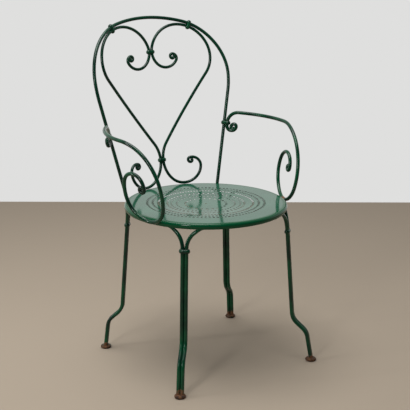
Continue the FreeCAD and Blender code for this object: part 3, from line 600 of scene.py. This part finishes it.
def holed_band(inner, outer, holes, hole, offset, sheet):
    """A ring of round holes through the sheet. Each hole has a cell that reaches from hole to band edge:
    p = (1 - t) * hole circle + t * cell edge, laid round the seat as (R + y, angle + x / R). Rows run from
    the cell's edge on top, through the hole, to the cell's edge below. Offset is in holes.
    """
    middle = (inner + outer) / 2
    half = math.pi / holes
    across = np.linspace(-1, 1, AROUND // holes + 1)[:-1]
    up = np.linspace(-1, 1, SIDE + 1)[:-1]
    ones_a, ones_u = np.ones(len(across)), np.ones(SIDE)
    edge_x = np.concatenate([across, ones_u, -across, -ones_u]) * half * middle
    edge_y = np.concatenate([-ones_a, up, ones_a, -up]) * (outer - inner) / 2
    way = np.arctan2(edge_y, edge_x)
    share = np.array(CELL_ROWS)[:, None]
    x = (1 - share) * hole / 2 * np.cos(way) + share * edge_x
    y = (1 - share) * hole / 2 * np.sin(way) + share * edge_y
    rows = len(CELL_ROWS)
    below = (np.arange(rows) >= rows // 2)[:, None] * np.ones(len(way))
    centres = (np.arange(holes) + offset)[:, None, None] * 2 * half
    angle = centres + (x / middle)[None]
    reach = np.broadcast_to(middle + y, angle.shape)
    under = np.broadcast_to(below, angle.shape)
    vertices = np.stack([reach * np.cos(angle), reach * np.sin(angle), sheet(reach, under)], -1)
    faces = grid_faces(rows, len(way), False, True)
    faces = (faces[None] + np.arange(holes)[:, None, None] * rows * len(way)).reshape(-1, 4)
    # Rust and painted shade: 1 at the hole's rim, fading over its cell
    marks = np.broadcast_to(1 - np.minimum(share * FADE, 1) + 0 * way, angle.shape)
    return vertices.reshape(-1, 3), faces, marks.ravel()


# Finishes

# Refraction index of the paint on bars, on the flat sheet and on its rolled edge
BAR_IOR, FLAT_IOR, ROLLED_IOR = 1.37, 1.58, 1.3
# Coats of paint: lowest and highest roughness, size of a patch and depth of the film's waves in mm
BAR_COAT = (0.12, 0.22, 55, 0.05)
LEG_COAT = (0.1, 0.2, 55, 0.05)
SHEET_COAT = (0.07, 0.13, 90, 0.03)
CAST_COAT = (0.16, 0.3, 20, 0.3)
CUP_COAT = (0.75, 0.92, 7, 0.5)
WAVE_MM, WAVE_STRENGTH = 14, 0.35  # brushed film
HIGHLIGHT_PLACE, RUSTY_PLACE = (34, 0.5), (14, 0.8)  # painted highlight and rusty place: radius in mm, and roughness
# Rust creeps up the legs to a level between these heights, and fades over this much to each side of it
CREEP_LOW, CREEP_HIGH, CREEP_FADE = 0.008, 0.026, 0.004
SPOT_MM, SPOT_FROM = 5.0, 0.30  # old enamel on the cups: size, and the noise where a spot starts
BACK_SHADE = 0.65  # share of the back's paint that is the darker green, painted shade on the hoop and heart
ROLL_FROM, ROLL_TO = 0.008, 0.002  # where the rolled edge's green comes in, inside the ring's circle


def add(tree, kind, inputs=None, **settings):
    """Add a node with its settings; inputs are values, or (node, socket) to link from."""
    node = tree.nodes.new("ShaderNode" + kind)
    for name, value in settings.items():
        setattr(node, name, value)
    for name, value in (inputs or {}).items():
        socket = node.inputs[name]
        if isinstance(value, tuple) and isinstance(value[0], bpy.types.Node):
            tree.links.new(value[0].outputs[value[1]], socket)
        else:
            socket.default_value = value
    return node


def blend(tree, share, first, second):
    """Mix of two colours: (1 - share) * first + share * second."""
    return add(tree, "Mix", {0: share, 6: first, 7: second}, data_type="RGBA")


def noise(tree, place, size_mm, detail):
    """Noise over the chair, with grains of a given size."""
    return add(tree, "TexNoise", {"Vector": (place, "Object"), "Scale": 1000 / size_mm, "Detail": detail})


def ramp(tree, value, low, high):
    """0 where a value is low, 1 where it is high: (value - low) / (high - low)."""
    return add(tree, "MapRange", {"Value": value, "From Min": low, "From Max": high})


def spread(tree, share, low, high):
    """Low where a share is 0, high where it is 1: low + share * (high - low)."""
    return add(tree, "MapRange", {"Value": share, "To Min": low, "To Max": high})


def paint(name, deep, fresh, rough_low, rough_high, patch_mm, depth_mm):
    """Gloss enamel: two greens in patches, under a brushed film with low waves and uneven gloss."""
    material = bpy.data.materials.new(name)
    material.use_nodes = True
    tree = material.node_tree
    place = add(tree, "TexCoord")
    drift = noise(tree, place, patch_mm, 3.0)
    share = ramp(tree, (drift, "Fac"), 0.35, 0.65)
    colour = blend(tree, (share, "Result"), (*deep, 1), (*fresh, 1))
    film = noise(tree, place, WAVE_MM, 1.0)
    rough = spread(tree, (drift, "Fac"), rough_low, rough_high)
    waves = {"Height": (film, "Fac"), "Strength": WAVE_STRENGTH, "Distance": depth_mm / 1000}
    bump = add(tree, "Bump", waves)
    shader = tree.nodes["Principled BSDF"]
    shader.inputs["IOR"].default_value = BAR_IOR
    tree.links.new(bump.outputs["Normal"], shader.inputs["Normal"])
    tree.links.new(colour.outputs[2], shader.inputs["Base Color"])
    tree.links.new(rough.outputs["Result"], shader.inputs["Roughness"])
    return material, tree, place, shader


def over(tree, shader, mask, colour, rough):
    """Lay a second finish over the first where mask is 1."""
    coat = add(tree, "Mix", {0: (mask, "Result"), 7: (*colour, 1)}, data_type="RGBA")
    gloss = add(tree, "Mix", {0: (mask, "Result"), 3: rough})
    for mix, name, below, result in ((coat, "Base Color", 6, 2), (gloss, "Roughness", 2, 0)):
        tree.links.new(shader.inputs[name].links[0].from_socket, mix.inputs[below])
        tree.links.new(mix.outputs[result], shader.inputs[name])


def spots(tree, place, size_mm, start):
    """Mask of small spots: fine noise over a threshold, only where a coarser noise is high."""
    fine = noise(tree, place, size_mm, 3.0)
    coarse = noise(tree, place, size_mm * 9, 1.0)
    both = add(tree, "Math", {0: (fine, "Fac"), 1: (coarse, "Fac")}, operation="MULTIPLY")
    return ramp(tree, (both, "Value"), start, start + 0.03)


def around_point(tree, place, point, radius_mm):
    """Mask that is 1 at a place on the chair and fades to 0 at a radius, with a ragged edge."""
    ragged = noise(tree, place, 9, 4.0)
    away = add(tree, "VectorMath", {0: (place, "Object"), 1: tuple(point)}, operation="DISTANCE")
    wide = spread(tree, (ragged, "Fac"), 0.5 * radius_mm / 1000, 1.5 * radius_mm / 1000)
    share = add(tree, "Math", {0: (away, "Value"), 1: (wide, "Result")}, operation="DIVIDE")
    return ramp(tree, (share, "Value"), 1.0, 0.45)


def bar_paint(chair, name, depth=0.0, worn=None, rust=None):
    """Gloss enamel brushed over steel bar: a deep wet green. Depth mixes in its darker green as painted
    shade.
    """
    c = chair.colours
    fresh = [(1 - depth) * a + depth * b for a, b in zip(c.enamel, c.enamel_deep)]
    material, tree, place, shader = paint(name, c.enamel_deep, fresh, *BAR_COAT)
    for point, colour, (radius_mm, rough) in ((worn, c.chalk, HIGHLIGHT_PLACE), (rust, c.rust, RUSTY_PLACE)):
        if point is not None:
            over(tree, shader, around_point(tree, place, point, radius_mm), colour, rough)
    return material


def leg_paint(chair):
    """The bars' enamel on the legs, where rust has crept up from the feet."""
    c = chair.colours
    material, tree, place, shader = paint("brushed_enamel_legs", c.enamel_deep, c.enamel, *LEG_COAT)
    height = add(tree, "SeparateXYZ", {"Vector": (place, "Object")})
    creep = noise(tree, place, 8, 4.0)
    heights = {"To Min": CREEP_LOW, "To Max": CREEP_HIGH}
    level = add(tree, "MapRange", {"Value": (creep, "Fac"), "From Min": 0.3, "From Max": 0.7, **heights})
    above = add(tree, "Math", {0: (height, "Z"), 1: (level, "Result")}, operation="SUBTRACT")
    mask = ramp(tree, (above, "Value"), CREEP_FADE, -CREEP_FADE)
    over(tree, shader, mask, c.rust, 0.85)
    return material


def sheet_paint(chair, plan):
    """Gloss enamel on pressed sheet: flat and wet, faded by sun on top, deep green where it pooled on the
    rolled edge, with a little rust and painted shade in dark brown at the edges and walls of the holes.
    """
    c = chair.colours
    fresh = [0.8 * v for v in c.sheet_enamel]
    material, tree, place, shader = paint("brushed_enamel_sheet", fresh, c.sheet_enamel, *SHEET_COAT)
    centre = tuple(plan.middle + [0, 0, chair.sizes.seat_height])
    reach = add(tree, "VectorMath", {0: (place, "Object"), 1: centre}, operation="DISTANCE")
    rolled = ramp(tree, (reach, "Value"), plan.ring_radius - ROLL_FROM, plan.ring_radius - ROLL_TO)
    over(tree, shader, rolled, c.enamel, 0.12)
    index = spread(tree, (rolled, "Result"), FLAT_IOR, ROLLED_IOR)
    tree.links.new(index.outputs["Result"], shader.inputs["IOR"])
    bare = add(tree, "Attribute", attribute_name="bare")
    hole_patch_noise = noise(tree, place, 12, 3.0)
    both = add(tree, "Math", {0: (bare, "Fac"), 1: (hole_patch_noise, "Fac")}, operation="MULTIPLY")
    mask = ramp(tree, (both, "Value"), 0.36, 0.46)
    # Dark brown at the holes' edges and walls: a little rust, and painted shade
    hole_wall_rust_and_shade = [(a + b) / 4 for a, b in zip(c.enamel_deep, c.rust_dark)]
    over(tree, shader, mask, hole_wall_rust_and_shade, 0.8)
    return material


def cast_paint(chair):
    """Enamel pooled on small castings: darker, softer gloss and slightly pitted."""
    c = chair.colours
    return paint("enamel_on_castings", c.enamel_deep, c.enamel, *CAST_COAT)[0]


def rusted_cup(chair):
    """Bare steel: dry brown rust in light and dark patches, with spots of old enamel."""
    c = chair.colours
    material, tree, place, shader = paint("rusted_steel", c.rust_dark, c.rust, *CUP_COAT)
    over(tree, shader, spots(tree, place, SPOT_MM, SPOT_FROM), c.enamel_deep, 0.4)
    return material


# Pieces

THIN_SHARE = 0.5  # of its thickness that the sheet keeps inside the thin radius
SMALL_HOLE = 0.75  # two of the inner rings have smaller holes: share of the others' diameter
EYE_RADII = (0.051, 0.03, 0.012)  # rows of the sheet inside the innermost ring of holes
FLANGE_ROWS = 14  # rows of the sheet from the outermost ring of holes to the roll
ROLL_START, ROLL_END, ROLL_ROWS = 90, -52, 26  # degrees at which the roll starts and ends, and its rows
LIP_ROWS = 5  # rows around the sheet's end
RING_ROUND, RING_AROUND = 16, 160  # points around the ring's bar, and along the ring
# Ends of the leg rods: length that is drawn down, rise towards the ring in radii, and share that is lost
SCARF, SCARF_RISE, SCARF_THIN = 0.03, 0.5, 0.45
LEG_OUT, LEG_UP = 0.66, 0.75  # way that the points around a leg rod are counted from
SUNK = 0.6  # where a leg rod ends in its cup, as a share of the cup's height
# Cup: flat below out to this share of its radius, widest at this share of its height, rounded with this power
CUP_FLAT, CUP_WIDEST, CUP_POWER = 0.82, 0.42, 0.45
CUP_START, CUP_ROWS, CUP_AROUND = -60, 14, 40  # degrees at which its side starts, its rows, points around
HIGHLIGHT_RISE = 0.8  # painted highlight above an arm's rear bend, over the bend's radius
RUST_IN = 0.004  # rusty place inside an arm's lowest point


def layout(context):
    """The chair's settings, its sizes and its centre lines."""
    chair = context.scene.garden_chair
    return chair, chair.sizes, Layout(chair.sizes)


def both_sides(name, node, made, material, slot, *more):
    """A piece on the sitter's left and its mirror image on the right."""
    vertices, faces = made
    piece(name + "_left", vertices, faces, material, slot, node % "left")
    piece(name + "_right", vertices * [-1, 1, 1], faces, more[0] if more else material, slot, node % "right")


class CHAIR_OT_seat(bpy.types.Operator):
    """Make the perforated sheet with its rolled edge, and the ring inside it"""

    bl_idname = "object.garden_chair_seat"
    bl_label = "Seat"

    def execute(self, context):
        chair, s, plan = layout(context)
        top, thick = s.seat_height, s.sheet_thickness

        def sheet(reach, under):
            """Height of the sheet's top or underside: level middle, then a half cosine up to the rolled edge.
            Inside the thin radius the sheet is drawn thinner than it is, only so that light shows through
            the holes from a low view.
            """
            rise = np.clip((reach - s.dish_from) / (s.dish_to - s.dish_from), 0, 1)
            thin = THIN_SHARE + (1 - THIN_SHARE) * (reach > s.thin_radius)
            return top - s.seat_dish * (1 + np.cos(math.pi * rise)) / 2 - thin * thick * under

        def side(reach, under):
            """A profile along the sheet's top or underside."""
            return np.stack([reach, sheet(reach, under)], 1)

        # Rings of holes: inner and outer edge, number of holes, their diameter and offset
        outer, inner, small = s.outer_hole, s.inner_hole, s.inner_hole * SMALL_HOLE
        rings = ((0.151, s.pierced_radius, 96, outer, 0), (0.1365, 0.1505, 96, outer, 0),
                 (0.1215, 0.1345, 96, inner, 0), (0.0995, 0.109, 48, inner, 0),
                 (0.0895, 0.0985, 48, small, 0.5), (0.074, 0.084, 48, small, 0),
                 (0.051, 0.061, 24, inner, 0))
        parts = [holed_band(*ring, sheet) for ring in rings]
        for farther, nearer in zip(rings, rings[1:]):
            reach = np.linspace(nearer[1], farther[0], 3)
            parts += [band(side(reach, 0)), band(side(reach, 1))]
        reach = np.array(EYE_RADII + (inner / 2,))
        parts.append(band(np.concatenate([side(reach, 0), side(reach, 1)[::-1]])))

        flange = np.linspace(s.pierced_radius, plan.ring_radius, FLANGE_ROWS)
        turn = np.radians(np.linspace(ROLL_START, ROLL_END, ROLL_ROWS))[1:]
        lip = np.radians(np.linspace(0, 180, LIP_ROWS))[1:-1]
        middle = np.array([plan.ring_radius, plan.ring_height])
        ways = np.stack([np.cos(turn), np.sin(turn)], 1)
        ways[:, 1] *= np.where(ways[:, 1] < 0, s.rim_droop_ratio, 1)
        last = ways[-1] / np.linalg.norm(ways[-1])
        across = np.array([last[1], -last[0]])
        rim = middle + (plan.roll - thick / 2) * ways[-1]
        rounded_lip = rim + thick / 2 * (np.cos(lip)[:, None] * last + np.sin(lip)[:, None] * across)
        outside, inside = middle + plan.roll * ways, (middle + (plan.roll - thick) * ways)[::-1]
        edge = [side(flange, 0), outside, rounded_lip, inside, side(flange, 1)[::-1]]
        parts.append(band(np.concatenate(edge)))

        starts = np.cumsum([0] + [len(part[0]) for part in parts])
        vertices = np.concatenate([part[0] for part in parts]) + plan.middle
        faces = np.concatenate([part[1] + start for part, start in zip(parts, starts)])
        marks = np.concatenate([part[2] for part in parts])
        piece("perforated_seat", vertices, faces, sheet_paint(chair, plan), "seat_enamel", "seat_pan", marks)

        angle = np.linspace(0, 2 * math.pi, RING_ROUND, endpoint=False)
        section = np.stack([np.cos(angle), np.sin(angle)], 1) * s.ring_bar / 2
        section[:, 1] *= np.where(section[:, 1] < 0, s.rim_droop_ratio, 1)
        section = middle + section
        made = turned(np.concatenate([section, section[:1]]), RING_AROUND, plan.middle)
        piece("ring_bar", *made, bar_paint(chair, "brushed_enamel_ring"), "green_enamel", "seat_ring")
        return {"FINISHED"}


class CHAIR_OT_back(bpy.types.Operator):
    """Make the back hoop and the two heart rods"""

    bl_idname = "object.garden_chair_back"
    bl_label = "Back hoop and heart"

    def execute(self, context):
        chair, s, plan = layout(context)
        backward = np.array([0, 1.0, 0])
        # The back's paint is drawn darker: painted shade
        material = bar_paint(chair, "brushed_enamel_back", BACK_SHADE)
        made = tube(plan.lines["hoop"], s.hoop_bar / 2, backward)
        piece("hoop_bar", *made, material, "green_enamel", "back_hoop")
        made = tube(plan.lines["heart"], s.heart_bar / 2, backward)
        both_sides("heart_bar", "heart_rod_%s", made, material, "green_enamel")
        return {"FINISHED"}


class CHAIR_OT_arms(bpy.types.Operator):
    """Make the two arm rods"""

    bl_idname = "object.garden_chair_arms"
    bl_label = "Arms"

    def execute(self, context):
        chair, s, plan = layout(context)
        line = plan.lines["arm"]
        foot = line[np.argmin(line[:, 2])]
        behind = line[line[:, 2] > plan.arm_height]
        bend = behind[np.argmax(behind[:, 1])]
        # Painted highlight on top of one arm's rear bend
        worn = bend * [-1, 1, 1] + [0, 0, s.arm_back_radius * HIGHLIGHT_RISE]
        made = tube(line, s.arm_bar / 2, plan.outward)
        left = bar_paint(chair, "brushed_enamel_arm", rust=foot - [RUST_IN, 0, 0])
        right = bar_paint(chair, "brushed_enamel_worn_arm", worn=worn)
        both_sides("arm_bar", "arm_rod_%s", made, left, "green_enamel", right)
        return {"FINISHED"}


def scarfed(line, radius):
    """A leg rod whose end is drawn down and hugs the ring: radius and centre move by t^2 (3 - 2 t)."""
    left = np.cumsum(np.linalg.norm(np.diff(line[::-1], axis=0), axis=1))
    near_end = np.clip(1 - np.concatenate([[0], left])[::-1] / SCARF, 0, 1)
    share = near_end ** 2 * (3 - 2 * near_end)
    return line + share[:, None] * [0, 0, SCARF_RISE * radius], radius * (1 - SCARF_THIN * share)


class CHAIR_OT_legs(bpy.types.Operator):
    """Make the eight leg rods and the four feet"""

    bl_idname = "object.garden_chair_legs"
    bl_label = "Legs and feet"

    def execute(self, context):
        chair, s, plan = layout(context)
        material = leg_paint(chair)
        steel = rusted_cup(chair)
        for end, angle in (("front", -s.front_leg_angle), ("rear", s.rear_leg_angle)):
            square = np.array([LEG_OUT * math.cos(angle), LEG_OUT * math.sin(angle), LEG_UP])
            for side in ("inner", "outer"):
                line = plan.lines["%s_leg_%s" % (end, side)]
                line = line[line[:, 2] > s.foot_height * SUNK]
                made = tube(*scarfed(line, (s.leg_bar + s.fit_gap) / 2), square)
                node = end + "_%s_leg_rod_" + side
                both_sides("%s_leg_%s" % (end, side), node, made, material, "green_enamel")
        turn = np.radians(np.linspace(CUP_START, 90, CUP_ROWS))
        wide, tall = s.foot_diameter / 2, s.foot_height
        rise = CUP_WIDEST + (1 - CUP_WIDEST) * np.sin(turn)
        crown = np.stack([wide * np.cos(turn) ** CUP_POWER, tall * rise], 1)
        profile = np.concatenate([[[0, 0], [wide * CUP_FLAT, 0]], crown[crown[:, 1] > 0]])
        profile[-1, 0] = 0
        for end, centre in plan.feet.items():
            made = turned(profile, CUP_AROUND, centre)
            both_sides(end.replace("_left", ""), end.replace("left", "%s"), made, steel, "rusty_foot")
        return {"FINISHED"}


class CHAIR_OT_collars(bpy.types.Operator):
    """Make the ten beaded collars that tie the bars together"""

    bl_idname = "object.garden_chair_collars"
    bl_label = "Collars"

    def execute(self, context):
        chair, s, plan = layout(context)
        material = cast_paint(chair)
        for node, (pair, radii) in plan.collars.items():
            made = bead(pair, radii, s.collar_height, s.collar_wall)
            if "left" in node:
                name = node.replace("_left", "_bead")
                both_sides(name, node.replace("left", "%s"), made, material, "collar_enamel")
            else:
                piece(node + "_bead", *made, material, "collar_enamel", node)
        return {"FINISHED"}


# Stage

# Camera: degrees to the side, down and of roll, its place, and its lens on its sensor in mm
AZIMUTH, ELEVATION, ROLL = -33.6524, 14.9583, 0.1185
CAMERA_PLACE = (-1.4597, -2.2330, 1.1320)
LENS, SENSOR = 88.35, 36
FLOOR_HALF, FLOOR_NEAR, FLOOR_FAR = 3.0, -3.0, 1.62  # half the floor's width, and where it starts and ends
# Brightness of the room in front of the chair over the wall's behind it, and between which ways they meet
ROOM, ROOM_FROM, WALL_FROM = 0.07, -0.25, 0.35
TARGET = (0, 0, 0.45)  # the lamps shine at it
# Lamps: place to the right, away and up as the camera sees it, width, height and power
LAMPS = (
    ("overhead_softbox", -0.3, -0.2, 2.4, 1.6, 1.2, 42.0),
    ("front_window", -1.4, -2.7, 1.9, 0.5, 1.0, 26.0),
    ("left_window", -2.0, -0.6, 1.1, 0.12, 1.7, 9.0),
)


class CHAIR_OT_stage(bpy.types.Operator):
    """Make the floor, the light and the camera"""

    bl_idname = "object.garden_chair_stage"
    bl_label = "Floor, light and camera"

    def execute(self, context):
        chair = context.scene.garden_chair
        c = chair.colours
        azimuth, elevation, roll = math.radians(AZIMUTH), math.radians(ELEVATION), math.radians(ROLL)
        right = Vector((math.cos(azimuth), math.sin(azimuth), 0))
        away = Vector((-math.sin(azimuth), math.cos(azimuth), 0))
        level, down = math.cos(elevation), -math.sin(elevation)
        forward = Vector((-math.sin(azimuth) * level, math.cos(azimuth) * level, down))
        up = right.cross(forward)

        camera = bpy.data.objects.new("camera", bpy.data.cameras.new("camera"))
        camera.data.lens = LENS
        camera.data.sensor_width = SENSOR
        turned_right = right * math.cos(roll) + up * math.sin(roll)
        turned_up = up * math.cos(roll) - right * math.sin(roll)
        turn = Matrix((turned_right, turned_up, -forward)).transposed().to_4x4()
        camera.matrix_world = Matrix.Translation(CAMERA_PLACE) @ turn
        context.scene.collection.objects.link(camera)
        context.scene.camera = camera

        # The floor ends in a straight line behind the chair, in front of the backdrop
        ends = ((-1, FLOOR_NEAR), (1, FLOOR_NEAR), (1, FLOOR_FAR), (-1, FLOOR_FAR))
        corners = [right * x * FLOOR_HALF + away * y for x, y in ends]
        mesh = bpy.data.meshes.new("floor")
        mesh.from_pydata([tuple(corner) for corner in corners], [], [(0, 1, 2, 3)])
        floor = bpy.data.objects.new("floor", mesh)
        context.scene.collection.objects.link(floor)
        pale = bpy.data.materials.new("pale_floor")
        pale.use_nodes = True
        shader = pale.node_tree.nodes["Principled BSDF"]
        shader.inputs["Base Color"].default_value = (*c.floor, 1)
        shader.inputs["Roughness"].default_value = 0.9
        shader.inputs["Specular IOR Level"].default_value = 0.2
        mesh.materials.append(pale)

        # World: the camera sees the plain backdrop. Light and reflections come from a pale wall behind the
        # chair and a dimmer room in front of it.
        world = bpy.data.worlds.new("studio")
        world.use_nodes = True
        tree = world.node_tree
        tree.nodes.clear()
        place = add(tree, "TexCoord")
        behind = add(tree, "VectorMath", {0: (place, "Generated"), 1: tuple(away)}, operation="DOT_PRODUCT")
        share = ramp(tree, (behind, "Value"), ROOM_FROM, WALL_FROM)
        share.interpolation_type = "SMOOTHSTEP"
        dim, wall = (*(ROOM * v for v in c.backdrop), 1), (*c.backdrop, 1)
        room = blend(tree, (share, "Result"), dim, wall)
        path = add(tree, "LightPath")
        seen = blend(tree, (path, "Is Camera Ray"), (room, 2), wall)
        sky = add(tree, "Background", {"Color": (seen, 2), "Strength": 1.0})
        add(tree, "OutputWorld", {"Surface": (sky, "Background")})
        context.scene.world = world

        target = Vector(TARGET)
        for name, x, y, z, wide, tall, power in LAMPS:
            light = bpy.data.lights.new(name, "AREA")
            light.shape = "RECTANGLE"
            light.size = wide
            light.size_y = tall
            light.energy = power
            lamp = bpy.data.objects.new(name, light)
            spot = right * x + away * y + Vector((0, 0, z))
            facing = (target - spot).to_track_quat("-Z", "Y").to_matrix().to_4x4()
            lamp.matrix_world = Matrix.Translation(spot) @ facing
            context.scene.collection.objects.link(lamp)
        context.scene.view_settings.view_transform = "Standard"
        return {"FINISHED"}


class GardenChair(bpy.types.PropertyGroup):
    """All that a user can change on the armchair."""

    sizes: PointerProperty(type=ChairSizes)
    colours: PointerProperty(type=ChairColours)


OPERATORS = (CHAIR_OT_seat, CHAIR_OT_back, CHAIR_OT_arms, CHAIR_OT_legs, CHAIR_OT_collars, CHAIR_OT_stage)


class CHAIR_PT_panel(bpy.types.Panel):
    """Sidebar panel with the armchair's pieces, sizes and colours."""

    bl_label = "Garden armchair"
    bl_idname = "CHAIR_PT_panel"
    bl_space_type = "VIEW_3D"
    bl_region_type = "UI"
    bl_category = "Chair"

    def draw(self, context):
        chair = context.scene.garden_chair
        for operator in OPERATORS:
            self.layout.operator(operator.bl_idname)
        for group in (chair.sizes, chair.colours):
            for name in group.__annotations__:
                self.layout.prop(group, name)


CLASSES = (ChairSizes, ChairColours, GardenChair) + OPERATORS + (CHAIR_PT_panel,)


def register():
    for item in CLASSES:
        bpy.utils.register_class(item)
    bpy.types.Scene.garden_chair = PointerProperty(type=GardenChair)


def unregister():
    del bpy.types.Scene.garden_chair
    for item in reversed(CLASSES):
        bpy.utils.unregister_class(item)


def main():
    register()
    bpy.ops.object.garden_chair_seat()
    bpy.ops.object.garden_chair_back()
    bpy.ops.object.garden_chair_arms()
    bpy.ops.object.garden_chair_legs()
    bpy.ops.object.garden_chair_collars()
    bpy.ops.object.garden_chair_stage()


if __name__ == "__main__":
    main()
